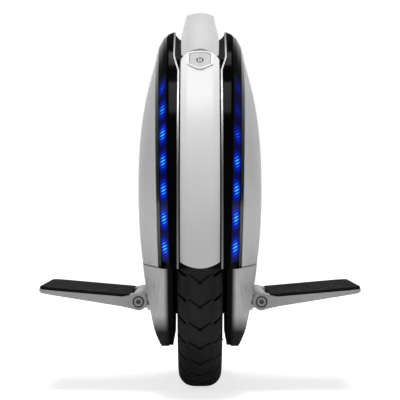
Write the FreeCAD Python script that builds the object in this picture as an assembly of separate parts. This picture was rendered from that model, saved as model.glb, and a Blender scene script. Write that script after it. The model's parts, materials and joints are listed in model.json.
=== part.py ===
import FreeCAD, Part
import math
import os

# Electric unicycle, in millimetres. X is sideways, Y is the direction of travel with the front
# at minus Y, Z is up. The origin is where the tyre touches the ground.

V = FreeCAD.Vector

# Wheel
TYRE_RADIUS = 205.0
TYRE_HALF_WIDTH = 27.0
TREAD_GROOVES = 40
TREAD_DEPTH = 3.2
BEAD_RADIUS = 152.3
RIM_FLANGE_RADIUS = 160.0
RIM_HALF_WIDTH = 24.5
TUBE_WALL_SHARE = 0.93
VALVE_RADIUS = 3.2
VALVE_LENGTH = 16.0
AXLE_Z = TYRE_RADIUS

# Motor
ROTOR_OUTER_RADIUS = 142.0
ROTOR_INNER_RADIUS = 136.0
MAGNET_THICKNESS = 3.4
GLUE_GAP = 0.05
AIR_GAP = 0.9
MAGNET_COUNT = 46
SLOT_COUNT = 51
STATOR_HALF_WIDTH = 15.0
STATOR_HUB_RADIUS = 92.0
COIL_THICKNESS = 2.9
SLOT_FLOOR = 14.0
TOOTH_TIP = 2.5
COVER_SCREW_COUNT = 12
COVER_SCREW_CIRCLE = 143.0
COVER_FACE_X = 36.2

# Axle and bearings
AXLE_RADIUS = 10.0
AXLE_HALF_LENGTH = 61.0
AXLE_FLAT = 7.0
AXLE_BORE = 4.5
BEARING_OUTER_RADIUS = 23.5
BEARING_X = 31.0
BEARING_WIDTH = 14.0
BALL_RADIUS = 3.9
BALL_COUNT = 8
BALL_CLEARANCE = 0.08

# Body outline
RING_Z = 228.0
RING_RADIUS = 225.0
RING_TILT = 1.22
RING_PIVOT_X = 50.0
RING_INNER_RADIUS = 188.0
SEAM_Z = 158.0
SKIN = 2.6
SEAM_GAP = 0.4
LINER_RADIUS = 210.0
LINER_THICKNESS = 3.0
LINER_END_ANGLE = 12.0
WALL_INNER_X = 32.2
WALL_OUTER_X = 37.2
WALL_RADIUS = 209.5
WALL_HOLE_RADIUS = 120.0
NOTCH_HALF_LENGTH = 60.0
NOTCH_FLOOR_Z = 426.0
NOTCH_ROUND = 12.0
HORN_SLANT = 2.0
DOME_Z = 250.0
DOME_HALF_WIDTH = 77.8
DOME_BULGE_RADIUS = 150.0
DOME_BULGE_DROP = 18.2
DOME_POWER = 2.53
DOME_EDGE_SLOPE = 0.26

# Spine, trims and lights
SPINE_HALF_WIDTH = 22.9
SPINE_LOW_ANGLE = -24.0
SPINE_HIGH_ANGLE = 64.0
SPINE_END_Z = 158.4
SPINE_DEPTH = 3.0
SPINE_RISE = 0.5
SPINE_END_DROP = 7.5
SPINE_BEVEL_WIDTH = 7.4
SPINE_BEVEL_DROP = 2.2
SPINE_EDGE_ROUND = 2.5
TRIM_INNER_X = 24.6
TRIM_WIDTH = 2.0
TRIM_TOP_SHIFT = 5.4
TRIM_BEND_LOW = 46.0
TRIM_BEND_HIGH = 53.0
TRIM_END_ANGLE = 73.5
LIGHT_LOW_ANGLE = -17.0
LIGHT_HIGH_ANGLE = 47.0
LIGHT_COUNT = 7
LIGHT_FIRST_ANGLE = -12.2
LIGHT_STEP = 8.9
LENS_THICKNESS = 2.0
LIGHT_RECESS = 4.5
LENS_RECESS = 0.3
BOARD_THICKNESS = 1.0

# Handle and button
HANDLE_TOP_Z = 475.0
HANDLE_RADIUS = 167.5
HANDLE_THICKNESS = 22.0
HANDLE_HALF_WIDTH = 17.6
HANDLE_CROWN_X = 16.0
HANDLE_CROWN = 3.0
HANDLE_SIDE_DROP = 5.2
HANDLE_BEVEL = 5.0
FOOT_ARCH_RADIUS = 23.6
FOOT_ARCH_TOP = 23.5
FOOT_CORNER = 4.0
BUTTON_ANGLE = 51.0
BUTTON_HALF_WIDTH = 12.8
BUTTON_HALF_HEIGHT = 16.0
BUTTON_PROUD = 0.8
BUTTON_FLANGE = 1.2
BUTTON_GAP = 0.35
BUTTON_ROOM = 1.3
BEZEL_WIDTH = 2.2
BEZEL_PROUD = 1.4
SWITCH_BOARD_Z = -9.6
SWITCH_HALF = 3.5
PLUNGER_RADIUS = 1.6

# Hanger and pedal
HANGER_RADIUS = 200.0
HANGER_LOW_Z = 60.0
HANGER_TOP_X = 72.3
HANGER_LOW_X = 46.5
HANGER_WALL = 5.0
HANGER_SCREW_RADIUS = 2.5
HANGER_SCREW_SEAT_X = 47.5
HANGER_SCREW_PLACES = ((140.0, 132.0), (100.0, 84.0))
COVER_SCREW_RADIUS = 1.9
COVER_SCREW_END_X = 47.0
COVER_SCREW_PLACES = ((128.0, 300.0), (75.0, 382.0), (150.0, 190.0))
TONGUE_INNER_X = 40.0
TONGUE_OUTER_X = 48.0
TONGUE_TOP_Z = 240.0
TONGUE_HALF_WIDTH = 34.0
PIN_X = 75.0
PIN_Z = 113.0
PIN_RADIUS = 5.0
PIN_CLEARANCE = 0.05
PIN_HEAD_RADIUS = 6.9
PIN_HEAD_LENGTH = 3.0
KNUCKLE_RADIUS = 10.5
LUG_HALF_LENGTH = 58.0
PEDAL_HALF_LENGTH = 100.0
PEDAL_INNER_X = 86.5
PEDAL_TIP_X = 197.5
PEDAL_TIP_Z = 127.9
PEDAL_TIP_THICKNESS = 4.6
PEDAL_TIP_BEVEL = 3.5
PEDAL_TOP_SLOPE = 5.0
PEDAL_LOW_SLOPE = 9.2
HEEL_REACH = 8.0
STOP_GAP = 0.3
PEDAL_CORNER = 18.0
PAD_INSET = 0.8
PAD_INNER_X = 85.5
PAD_THICKNESS = 4.3
PAD_RECESS = 0.6
PAD_EDGE_ROUND = 1.5
PAD_GROOVE_PLACES = (-60.0, -20.0, 20.0, 60.0)
PAD_GROOVE_HALF = 1.1
PAD_GROOVE_DEPTH = 0.9

# Battery and controller
CELL_RADIUS = 9.2
CELL_LENGTH = 65.0
CELL_PITCH = 18.8
CELL_FIRST_Z = 256.0
TRAY_THICKNESS = 2.0
SINK_THICKNESS = 3.8
CIRCUIT_THICKNESS = 1.6
TRANSISTOR_THICKNESS = 4.5
CABLE_RADIUS = 3.2
CABLE_BEND = 10.0
CABLE_FAR_X = 70.0
CABLE_RISE = 54.0
LEAD_X = 44.5
LEAD_Z = 420.0
LEAD_HALF_WIDTH = 6.0
LEAD_THICKNESS = 2.0
LEAD_END_DROP = 0.4

# Charge socket
SOCKET_ANGLE = 46.0
SOCKET_BORE = 6.0
SOCKET_DEPTH = 10.0
SOCKET_LENGTH = 14.0
SOCKET_RADIUS = 9.0
SOCKET_PLATE_HALF = 12.5
SOCKET_PLATE_TOP = 17.0
CAP_RADIUS = 10.5
CAP_PIN_RADIUS = 0.9
CAP_HINGE_OFFSET = 14.5
CAP_HINGE_RISE = 2.9


# Shared helpers

def face_of(corners):
    """Flat face with straight edges through the given corners."""
    return Part.Face(Part.makePolygon(corners + corners[:1]))


def upright(shape):
    """The same solid with its faces pointing outward."""
    if shape.Volume < 0:
        shape.reverse()
    return shape


def curve(points):
    """Smooth edge through the given points."""
    spline = Part.BSplineCurve()
    spline.interpolate(points)
    return spline.toShape()


def turned_face(face, axis_z, low=-180.0, high=180.0):
    """Solid turned from a face above an X axis, between two angles counted up from the front."""
    centre = V(0, 0, axis_z)
    face.rotate(centre, V(1, 0, 0), 90.0 - high)
    return upright(face.revolve(centre, V(1, 0, 0), high - low))


def turned(points, axis_z, low=-180.0, high=180.0):
    """Solid turned from (x, radius) corners."""
    corners = [V(x, 0, axis_z + radius) for x, radius in points]
    return turned_face(face_of(corners), axis_z, low, high)


def tube(axis_z, inner, outer, x_low, x_high):
    """Plain ring about an X axis."""
    return turned([(x_low, inner), (x_high, inner), (x_high, outer), (x_low, outer)], axis_z)


def rod(radius, x_low, x_high, y, z):
    """Round bar along X."""
    return Part.makeCylinder(radius, x_high - x_low, V(x_low, y, z), V(1, 0, 0))


def rod_y(radius, y_low, y_high, x, z):
    """Round bar along Y."""
    return Part.makeCylinder(radius, y_high - y_low, V(x, y_low, z), V(0, 1, 0))


def block(x_low, x_high, y_low, y_high, z_low, z_high):
    """Box between two corners."""
    return Part.makeBox(x_high - x_low, y_high - y_low, z_high - z_low, V(x_low, y_low, z_low))


def prism_along_y(points, half_length):
    """Upright (x, z) outline drawn out to both sides along Y."""
    face = face_of([V(x, -half_length, z) for x, z in points])
    return upright(face.extrude(V(0, 2 * half_length, 0)))


def prism_along_x(points, x_low, x_high):
    """Side-view (y, z) outline drawn out along X."""
    face = face_of([V(x_low, y, z) for y, z in points])
    return upright(face.extrude(V(x_high - x_low, 0, 0)))


def prism_along_z(points, z_low, z_high):
    """Plan (x, y) outline drawn out along Z."""
    face = face_of([V(x, y, z_low) for x, y in points])
    return upright(face.extrude(V(0, 0, z_high - z_low)))


def around(shape, axis_z, count):
    """Equal copies spread round an X axis."""
    copies = []
    for index in range(count):
        copy = shape.copy()
        copy.rotate(V(0, 0, axis_z), V(1, 0, 0), index * 360.0 / count)
        copies.append(copy)
    return copies


def other_side(shape):
    """Mirror image on the left."""
    return shape.mirror(V(0, 0, 0), V(1, 0, 0))


def other_end(shape):
    """Mirror image at the rear."""
    return shape.mirror(V(0, 0, 0), V(0, 1, 0))


def tilted(shape):
    """The slight lean that makes the right ring wider at its top."""
    shape.rotate(V(RING_PIVOT_X, 0, RING_Z), V(0, 1, 0), RING_TILT)
    return shape


def carve(shape, cutters):
    """Cut pieces away one after another."""
    for cutter in cutters:
        shape = shape.cut(cutter)
    return shape


def save(name, *solids):
    """Write one node: a single solid or a group of separate solids."""
    pieces = []
    for solid in solids:
        pieces += solid.Solids
    shape = pieces[0] if len(pieces) == 1 else Part.makeCompound(pieces)
    shape.exportStep("parts/" + name + ".step")


def save_pair(name, shape):
    """Write a right-hand piece and its mirror image."""
    save("right_" + name, shape)
    save("left_" + name, other_side(shape))


def save_ends(name, shape):
    """Write a piece with its twin at the other end, on the right and on the left."""
    ends = [shape, other_end(shape)]
    save("right_" + name, *ends)
    save("left_" + name, *[other_side(piece) for piece in ends])


# Wheel

def both_sides(half):
    """Mirror (x, radius) points to the left and join them into one line."""
    return [(-x, radius) for x, radius in reversed(half) if x > 0] + half


def tyre_inside():
    """Right half of the line between tyre casing and inner tube, from the crown to the bead."""
    crown = TYRE_RADIUS - 8.0
    side = TYRE_HALF_WIDTH - 4.6
    return [(0, crown), (side * 0.5, crown - 1.2), (side * 0.85, crown - 5.5), (side, crown - 12.0),
            (side - 0.4, crown - 22.0), (side - 2.6, crown - 30.0), (16.2, BEAD_RADIUS + 8.5)]


def tyre_outside():
    """Right half of the tread and sidewall line, from the crown to the bead."""
    side = TYRE_HALF_WIDTH
    crown = TYRE_RADIUS
    return [(0, crown), (side * 0.38, crown - 0.4), (side * 0.64, crown - 2.6), (side * 0.85, crown - 7.5),
            (side * 0.97, crown - 14.0), (side, crown - 21.0), (side - 0.3, crown - 29.0),
            (side - 2.2, crown - 38.0), (21.9, BEAD_RADIUS + 8.0)]


def band_face(lines):
    """Face whose border is a chain of smooth lines given as (x, radius) points about the axle."""
    edges = []
    for line in lines:
        points = [V(x, 0, AXLE_Z + radius) for x, radius in line]
        edges.append(curve(points) if len(points) > 2 else Part.makeLine(points[0], points[1]))
    return Part.Face(Part.Wire(Part.__sortEdges__(edges)))


def tread_groove():
    """One V groove across the tread with a sloping bar on each shoulder."""
    top = TYRE_RADIUS + 2.0
    floor = TYRE_RADIUS - TREAD_DEPTH
    arms = []
    for side in (-1, 1):
        arm = block(-3.0, 16.0, -1.3, 1.3, floor, top)
        arm.rotate(V(0, 0, 0), V(0, 0, 1), 38.0)
        bar = block(17.5, 34.0, -1.7, 1.7, floor - 13.0, top)
        bar.rotate(V(0, 0, 0), V(0, 0, 1), 24.0)
        for piece in (arm, bar):
            piece.translate(V(0, 0, AXLE_Z))
            arms.append(piece if side > 0 else other_side(piece))
    return arms


def make_tyre():
    outside = both_sides(tyre_outside())
    inside = both_sides(tyre_inside())
    lines = [outside, inside]
    for side in (-1, 1):
        outer_end = (side * 21.9, BEAD_RADIUS + 8.0)
        seat_outer = (side * 21.7, BEAD_RADIUS)
        seat_inner = (side * 16.2, BEAD_RADIUS)
        inner_end = (side * 16.2, BEAD_RADIUS + 8.5)
        lines += [[outer_end, seat_outer], [seat_outer, seat_inner], [seat_inner, inner_end]]
    tyre = turned_face(band_face(lines), AXLE_Z)
    middle = TYRE_RADIUS - 25.0
    share = 1.0 - TREAD_DEPTH / 25.0
    under_tread = [(x * share, middle + (radius - middle) * share) for x, radius in outside]
    core = turned(under_tread, AXLE_Z)
    grooves = []
    for piece in tread_groove():
        grooves += around(piece.cut(core), AXLE_Z, TREAD_GROOVES)
    return tyre.cut(grooves)


def make_tube():
    """Inner tube: its own wall, filling the casing down to the rim well."""
    half = tyre_inside() + [(15.9, BEAD_RADIUS + 0.2), (14.3, BEAD_RADIUS - 2.0)]
    middle = (BEAD_RADIUS + TYRE_RADIUS) / 2.0
    outside = both_sides(half)
    inside = [(x * TUBE_WALL_SHARE, middle + (radius - middle) * TUBE_WALL_SHARE) for x, radius in outside]
    start, direction = valve_line()
    stem_hole = Part.makeCylinder(VALVE_RADIUS, VALVE_LENGTH, start, direction)
    return carve(turned(outside, AXLE_Z), [turned(inside, AXLE_Z), stem_hole])


def valve_line():
    """Start point and direction of the valve, which leaves the rim sideways."""
    start = V(12.0, 0, AXLE_Z - BEAD_RADIUS + 1.5)
    return start, V(math.cos(math.radians(24.0)), 0, math.sin(math.radians(24.0)))


def make_rim():
    bead = BEAD_RADIUS
    well = bead - 2.3
    half = [(14.5, well), (16.0, bead), (21.8, bead), (22.0, bead + 0.7), (22.6, RIM_FLANGE_RADIUS),
            (RIM_HALF_WIDTH, RIM_FLANGE_RADIUS), (RIM_HALF_WIDTH, bead - 1.3), (23.8, well - 0.5),
            (20.0, well - 0.5), (20.0, ROTOR_INNER_RADIUS + 1.0), (16.2, ROTOR_INNER_RADIUS + 1.0),
            (16.2, ROTOR_OUTER_RADIUS)]
    rim = turned(half + [(-x, radius) for x, radius in reversed(half)], AXLE_Z)
    start, direction = valve_line()
    return rim.cut(Part.makeCylinder(VALVE_RADIUS, 40.0, start - direction * 6.0, direction))


def make_magnets():
    sweep = 360.0 / MAGNET_COUNT
    low = ROTOR_INNER_RADIUS - MAGNET_THICKNESS
    high = ROTOR_INNER_RADIUS - GLUE_GAP
    half = STATOR_HALF_WIDTH
    corners = [(-half, low), (half, low), (half, high), (-half, high)]
    return around(turned(corners, AXLE_Z, 90.0, 90.0 + sweep * 0.86), AXLE_Z, MAGNET_COUNT)


def on_screw_circle(shape):
    """Copies on the motor cover's screw circle, half a step off the top so the valve stays clear."""
    shape.rotate(V(0, 0, AXLE_Z), V(1, 0, 0), 180.0 / COVER_SCREW_COUNT)
    return around(shape, AXLE_Z, COVER_SCREW_COUNT)


def make_motor_cover():
    face = COVER_FACE_X
    outside = [(20.0, 149.0), (24.0, 149.0), (24.0, 128.0), (29.0, 114.0), (face - 0.4, 105.0),
               (face, 98.0), (face, 32.0), (BEARING_X + BEARING_WIDTH / 2, 30.5)]
    seat = [(BEARING_X + BEARING_WIDTH / 2, BEARING_OUTER_RADIUS),
            (BEARING_X - BEARING_WIDTH / 2, BEARING_OUTER_RADIUS),
            (BEARING_X - BEARING_WIDTH / 2, 30.0), (face - 4.0, 36.0)]
    inside = [(face - 4.0, 100.0), (25.5, 111.0), (20.0, 124.0)]
    cover = turned(outside + seat + inside, AXLE_Z)
    return cover.cut(on_screw_circle(rod(2.1, 18.0, 30.0, 0, AXLE_Z + COVER_SCREW_CIRCLE)))


def make_cover_screws():
    """Screws on both sides, seated on the covers and running into the rim's side lands."""
    shank = rod(2.1, 20.0, 24.0, 0, AXLE_Z + COVER_SCREW_CIRCLE)
    head = rod(4.0, 24.0, 26.4, 0, AXLE_Z + COVER_SCREW_CIRCLE)
    socket = rod(1.8, 25.0, 26.4, 0, AXLE_Z + COVER_SCREW_CIRCLE)
    right = on_screw_circle(shank.fuse(head).cut(socket))
    return right + [other_side(screw) for screw in right]


def make_valve():
    start, direction = valve_line()
    stem = Part.makeCylinder(VALVE_RADIUS, VALVE_LENGTH - 5.0, start, direction)
    stem = stem.fuse(Part.makeCylinder(VALVE_RADIUS - 0.6, VALVE_LENGTH, start, direction))
    cap_start = start + direction * (VALVE_LENGTH - 5.0)
    cap = Part.makeCylinder(VALVE_RADIUS + 0.6, 7.0, cap_start, direction)
    return stem, cap.cut(Part.makeCylinder(VALVE_RADIUS - 0.6, 5.0, cap_start, direction))


def make_valve_notch():
    """Room for the valve through the flange of the right motor cover."""
    start, direction = valve_line()
    return Part.makeCylinder(VALVE_RADIUS + 1.4, VALVE_LENGTH + 10.0, start, direction)


# Motor, axle and bearings

def slot_half_width():
    """Half the width of a stator slot, a share of the tooth pitch at its floor."""
    return math.pi * (STATOR_HUB_RADIUS + SLOT_FLOOR) / SLOT_COUNT * 0.54


def tooth_half_width(radius):
    """Half the width of a stator tooth at a distance from the axle."""
    angle = math.pi / SLOT_COUNT
    return radius * math.tan(angle) - slot_half_width() / math.cos(angle)


def stator_radius():
    return ROTOR_INNER_RADIUS - MAGNET_THICKNESS - AIR_GAP


def make_stator_core():
    outer = stator_radius()
    ring = tube(AXLE_Z, STATOR_HUB_RADIUS, outer, -STATOR_HALF_WIDTH, STATOR_HALF_WIDTH)
    low = AXLE_Z + STATOR_HUB_RADIUS + SLOT_FLOOR
    high = AXLE_Z + outer - TOOTH_TIP
    half = slot_half_width()
    deep = STATOR_HALF_WIDTH + 1.0
    slot = block(-deep, deep, -half, half, low, high)
    mouth = block(-deep, deep, -1.2, 1.2, high - 1.0, AXLE_Z + outer + 1.0)
    return ring.cut(around(slot, AXLE_Z, SLOT_COUNT) + around(mouth, AXLE_Z, SLOT_COUNT))


def make_windings():
    """One wound coil round each stator tooth."""
    low = STATOR_HUB_RADIUS + SLOT_FLOOR + 0.4
    high = stator_radius() - TOOTH_TIP - 0.4
    deep = STATOR_HALF_WIDTH
    inside = [(-tooth_half_width(low), AXLE_Z + low), (tooth_half_width(low), AXLE_Z + low),
              (tooth_half_width(high), AXLE_Z + high), (-tooth_half_width(high), AXLE_Z + high)]
    outside = [(y + math.copysign(COIL_THICKNESS, y), z) for y, z in inside]
    coil = prism_along_x(outside, -deep - COIL_THICKNESS, deep + COIL_THICKNESS)
    coil = coil.cut(prism_along_x(inside, -deep, deep))
    coil.rotate(V(0, 0, AXLE_Z), V(1, 0, 0), 180.0 / SLOT_COUNT)
    return around(coil, AXLE_Z, SLOT_COUNT)


def make_stator_hub():
    rim = tube(AXLE_Z, STATOR_HUB_RADIUS - 8.0, STATOR_HUB_RADIUS, -STATOR_HALF_WIDTH, STATOR_HALF_WIDTH)
    web = tube(AXLE_Z, 12.0, STATOR_HUB_RADIUS - 4.0, -5.0, 5.0)
    boss = tube(AXLE_Z, 12.0, 24.0, -14.0, 14.0)
    window = rod(16.0, -8.0, 8.0, 0, AXLE_Z + 56.0)
    return rim.fuse([web, boss]).cut(around(window, AXLE_Z, 6))


def axle_section(x_low, x_high):
    """Axle end with two flats so that it cannot turn in the hanger."""
    bar = rod(AXLE_RADIUS, x_low, x_high, 0, AXLE_Z)
    keep = block(x_low, x_high, -AXLE_RADIUS, AXLE_RADIUS, AXLE_Z - AXLE_FLAT, AXLE_Z + AXLE_FLAT)
    return bar.common(keep)


def make_axle():
    shoulder = BEARING_X - BEARING_WIDTH / 2
    bearing_end = BEARING_X + BEARING_WIDTH / 2
    axle = rod(12.0, -shoulder, shoulder, 0, AXLE_Z)
    axle = axle.fuse(rod(AXLE_RADIUS, -bearing_end, bearing_end, 0, AXLE_Z))
    axle = axle.fuse(axle_section(-AXLE_HALF_LENGTH, AXLE_HALF_LENGTH))
    bore = rod(AXLE_BORE, 19.0, AXLE_HALF_LENGTH, 0, AXLE_Z)
    exit_hole = Part.makeCylinder(AXLE_BORE, 14.0, V(19.2, 0, AXLE_Z), V(0, 0, 1))
    return axle.cut([bore, exit_hole])


def make_axle_nut():
    hexagon = [(14.0 * math.cos(math.radians(60 * k)), AXLE_Z + 14.0 * math.sin(math.radians(60 * k)))
               for k in range(6)]
    nut = prism_along_x(hexagon, TONGUE_OUTER_X, TONGUE_OUTER_X + 11.0)
    flange = rod(18.0, TONGUE_OUTER_X, TONGUE_OUTER_X + 2.0, 0, AXLE_Z)
    return nut.fuse(flange).cut(axle_section(0, AXLE_HALF_LENGTH + 5.0))


def ball_circle():
    return (AXLE_RADIUS + BEARING_OUTER_RADIUS) / 2.0


def make_race(inner, outer):
    """Bearing race with the ball track turned into it."""
    half = BEARING_WIDTH / 2
    ring = tube(AXLE_Z, inner, outer, BEARING_X - half, BEARING_X + half)
    track = Part.makeTorus(ball_circle(), BALL_RADIUS + BALL_CLEARANCE, V(BEARING_X, 0, AXLE_Z), V(1, 0, 0))
    return ring.cut(track)


def make_balls():
    ball = Part.makeSphere(BALL_RADIUS, V(BEARING_X, 0, AXLE_Z + ball_circle()))
    return around(ball, AXLE_Z, BALL_COUNT)


def make_bearing_seals():
    """Thin seal rings held in the outer races."""
    half = BEARING_WIDTH / 2
    inner = ball_circle() - 2.4
    outer = ball_circle() + 2.7
    near = tube(AXLE_Z, inner, outer, BEARING_X - half, BEARING_X - half + 1.0)
    far = tube(AXLE_Z, inner, outer, BEARING_X + half - 1.0, BEARING_X + half)
    return [near, far, other_side(near), other_side(far)]


# Body shell

def disc(radius, axis_z, x_low, x_high):
    return rod(radius, x_low, x_high, 0, axis_z)


def below(z, reach=400.0):
    """Everything under a height."""
    return block(-reach, reach, -reach, reach, z - 2 * reach, z)


def notch():
    """Room for the fingers under the handle, open to both sides."""
    top = HANDLE_TOP_Z + 50.0
    half = NOTCH_HALF_LENGTH
    gap = block(-90.0, 90.0, -half, half, NOTCH_FLOOR_Z, top)
    floor_edges = [edge for edge in gap.Edges
                   if edge.BoundBox.ZMax < NOTCH_FLOOR_Z + 0.1 and edge.BoundBox.XLength > 100.0]
    return gap.makeFillet(NOTCH_ROUND, floor_edges)


def horn_bevels():
    """Slanted ends of the horns beside the trim, lower toward the outside."""
    start = TRIM_INNER_X + TRIM_WIDTH + TRIM_TOP_SHIFT
    end = start + 30.0
    half = NOTCH_HALF_LENGTH - 1.0
    corners = [(start, half), (end, half), (end, half + HORN_SLANT * (end - start))]
    wedge = prism_along_z(corners, NOTCH_FLOOR_Z + NOTCH_ROUND, HANDLE_TOP_Z)
    return [wedge, other_end(wedge)]


def saddle_dips():
    """Hollows beside the handle's feet, falling from the trim toward the handle."""
    outer = TRIM_INNER_X + TRIM_TOP_SHIFT + 0.2
    inner = SPINE_HALF_WIDTH - 0.9
    middle = (outer + inner) / 2.0
    low = NOTCH_FLOOR_Z + 6.0
    outline = [(outer, low + 10.0), (middle, low + 3.4), (inner, low), (inner, HANDLE_TOP_Z),
               (outer, HANDLE_TOP_Z)]
    dip = prism_along_y(outline, NOTCH_HALF_LENGTH + 50.0)
    return [dip, other_side(dip)]


def facing(angle, shape):
    """Move a piece drawn flat (x sideways, y up the surface, z outward) onto the front of the ring."""
    shape.rotate(V(0, 0, 0), V(1, 0, 0), 90.0 - angle)
    tilt = math.radians(angle)
    radius = RING_RADIUS + SPINE_RISE
    shape.translate(V(0, -radius * math.cos(tilt), RING_Z + radius * math.sin(tilt)))
    return shape


def ring_profile():
    """Closed (x, radius) outline of the right ring shell before it leans."""
    top = RING_RADIUS
    return [(22.0, top), (33.6, top), (36.0, top - 0.8), (41.2, top - 8.6), (46.5, top - 18.0),
            (50.4, top - 31.0), (51.2, RING_INNER_RADIUS), (48.2, RING_INNER_RADIUS),
            (47.8, RING_INNER_RADIUS + 3.0), (45.6, RING_INNER_RADIUS + 6.0),
            (33.0, RING_INNER_RADIUS + 6.0), (33.0, top - 12.6), (28.9, top - 5.5), (28.0, top - 3.0),
            (22.0, top - 3.0)]


def light_strip(depth_low, depth_high, inset):
    """(x, radius) outline of a layer of the light strip, by depth below the ring's slope."""
    start = (37.2, RING_RADIUS - 2.6)
    end = (46.0, RING_RADIUS - 17.1)
    length = math.hypot(end[0] - start[0], end[1] - start[1])
    along = ((end[0] - start[0]) / length, (end[1] - start[1]) / length)
    inward = (along[1], -along[0])

    def place(distance, depth):
        return (start[0] + along[0] * distance + inward[0] * depth,
                start[1] + along[1] * distance + inward[1] * depth)

    return [place(inset, depth_low), place(length - inset, depth_low),
            place(length - inset, depth_high), place(inset, depth_high)]


def strip_piece(depth_low, depth_high, inset, low, high):
    return tilted(turned(light_strip(depth_low, depth_high, inset), RING_Z, low, high))


def trim_zone(x_low, x_high, radius_low, radius_high, end_angle):
    """Strip that follows the trim: straight, then bent outward near the top."""
    def corners(shift):
        return [(x_low, radius_low), (x_high + shift, radius_low), (x_high + shift, radius_high),
                (x_low, radius_high)]

    def corners_moved(shift):
        return [(x_low + shift, radius_low), (x_high + shift, radius_low),
                (x_high + shift, radius_high), (x_low + shift, radius_high)]

    outline = corners_moved if x_low > 0 else corners
    low_part = turned(outline(0.0), RING_Z, SPINE_LOW_ANGLE, TRIM_BEND_LOW)
    high_part = turned(outline(TRIM_TOP_SHIFT), RING_Z, TRIM_BEND_HIGH, end_angle)
    rings = []
    for shift, angle in ((0.0, TRIM_BEND_LOW), (TRIM_TOP_SHIFT, TRIM_BEND_HIGH)):
        corners_here = [V(x, 0, RING_Z + radius) for x, radius in outline(shift)]
        wire = Part.makePolygon(corners_here + corners_here[:1])
        wire.rotate(V(0, 0, RING_Z), V(1, 0, 0), 90.0 - angle)
        rings.append(wire)
    bend = upright(Part.makeLoft(rings, True, True))
    return low_part.fuse([bend, high_part]).removeSplitter()


def make_trim():
    outer = TRIM_INNER_X + TRIM_WIDTH
    trim = trim_zone(TRIM_INNER_X, outer, RING_RADIUS - 4.6, RING_RADIUS + 0.9, TRIM_END_ANGLE)
    return trim.cut(below(SEAM_Z))


def make_ring_shell():
    ring = tilted(turned(ring_profile(), RING_Z))
    zone = trim_zone(-5.0, TRIM_INNER_X + TRIM_WIDTH, RING_RADIUS - 16.0, RING_RADIUS + 6.0, 92.0)
    cutters = [below(SEAM_Z), notch(), zone, other_end(zone)]
    cutters.append(disc(WALL_RADIUS + SEAM_GAP, RING_Z, 0.0, WALL_OUTER_X))
    cutters.append(disc(LINER_RADIUS + LINER_THICKNESS + SEAM_GAP, AXLE_Z, 0.0, WALL_INNER_X + SEAM_GAP))
    recess = strip_piece(-3.0, LIGHT_RECESS, 0.0, LIGHT_LOW_ANGLE, LIGHT_HIGH_ANGLE)
    cutters += [recess, other_end(recess)] + horn_bevels()
    return carve(ring, cutters)


def make_lens():
    depth = LENS_RECESS
    return strip_piece(depth, depth + LENS_THICKNESS, 0.0, LIGHT_LOW_ANGLE, LIGHT_HIGH_ANGLE)


def make_light_board():
    floor = LIGHT_RECESS
    low = LIGHT_LOW_ANGLE + 0.6
    high = LIGHT_HIGH_ANGLE - 0.6
    return strip_piece(floor - BOARD_THICKNESS, floor, 2.0, low, high)


def make_light_chips():
    """Light chips standing on the front right board."""
    top = LIGHT_RECESS - BOARD_THICKNESS
    chips = []
    for index in range(LIGHT_COUNT):
        angle = LIGHT_FIRST_ANGLE + index * LIGHT_STEP
        chips.append(strip_piece(top - 0.9, top, 5.5, angle - 0.7, angle + 0.7))
    return chips


def make_liner():
    low = LINER_RADIUS
    high = LINER_RADIUS + LINER_THICKNESS
    half = WALL_INNER_X
    corners = [(-half, low), (half, low), (half, high), (-half, high)]
    return turned(corners, AXLE_Z, -LINER_END_ANGLE, 180.0 + LINER_END_ANGLE)


def make_inner_wall():
    """Flat wall between the wheel and the side space, with the motor showing through its hole."""
    upper = disc(WALL_RADIUS, RING_Z, WALL_INNER_X, WALL_OUTER_X).cut(below(SEAM_Z))
    lower = disc(HANGER_RADIUS, RING_Z, WALL_INNER_X, WALL_OUTER_X)
    lower = lower.common(block(0, 100.0, -300.0, 300.0, HANGER_LOW_Z + 1.5, SEAM_Z))
    wall = upper.fuse(lower).removeSplitter()
    hole = disc(WALL_HOLE_RADIUS, AXLE_Z, 0, 60.0)
    return carve(wall, [hole, notch(), lead_slot()] + screw_holes(WALL_INNER_X - 1.0))


def frame_envelope(half_width, radius, low, high):
    corners = [(-half_width, 150.0), (half_width, 150.0), (half_width, radius), (-half_width, radius)]
    return turned(corners, RING_Z, low, high)


def make_frame():
    """Black backbone between the liner and the spine covers, with the scoop under the handle."""
    outer = RING_RADIUS - SPINE_DEPTH
    slim = frame_envelope(TRIM_INNER_X, outer, SPINE_LOW_ANGLE, 180.0 - SPINE_LOW_ANGLE)
    saddle = frame_envelope(TRIM_INNER_X + TRIM_TOP_SHIFT, outer, TRIM_BEND_HIGH, 180.0 - TRIM_BEND_HIGH)
    wide = frame_envelope(WALL_INNER_X, WALL_RADIUS, 20.0, 160.0)
    well = disc(LINER_RADIUS + LINER_THICKNESS, AXLE_Z, -60.0, 60.0)
    frame = slim.fuse([saddle, wide]).removeSplitter()
    wide_half = BUTTON_HALF_WIDTH + BUTTON_FLANGE + BUTTON_ROOM
    high_half = BUTTON_HALF_HEIGHT + BUTTON_FLANGE + BUTTON_ROOM
    pocket = block(-wide_half, wide_half, -high_half, high_half, SWITCH_BOARD_Z, 20.0)
    button_pocket = facing(BUTTON_ANGLE, pocket)
    socket_pocket = other_end(facing(SOCKET_ANGLE, block(-11.0, 11.0, -11.0, 11.0, -SOCKET_LENGTH, 20.0)))
    cutters = [well, below(SPINE_END_Z), notch(), button_pocket, socket_pocket]
    return carve(frame, cutters + saddle_dips() + [make_handle(), lead_slot()])


# Spine covers, handle, button and charge socket

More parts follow.
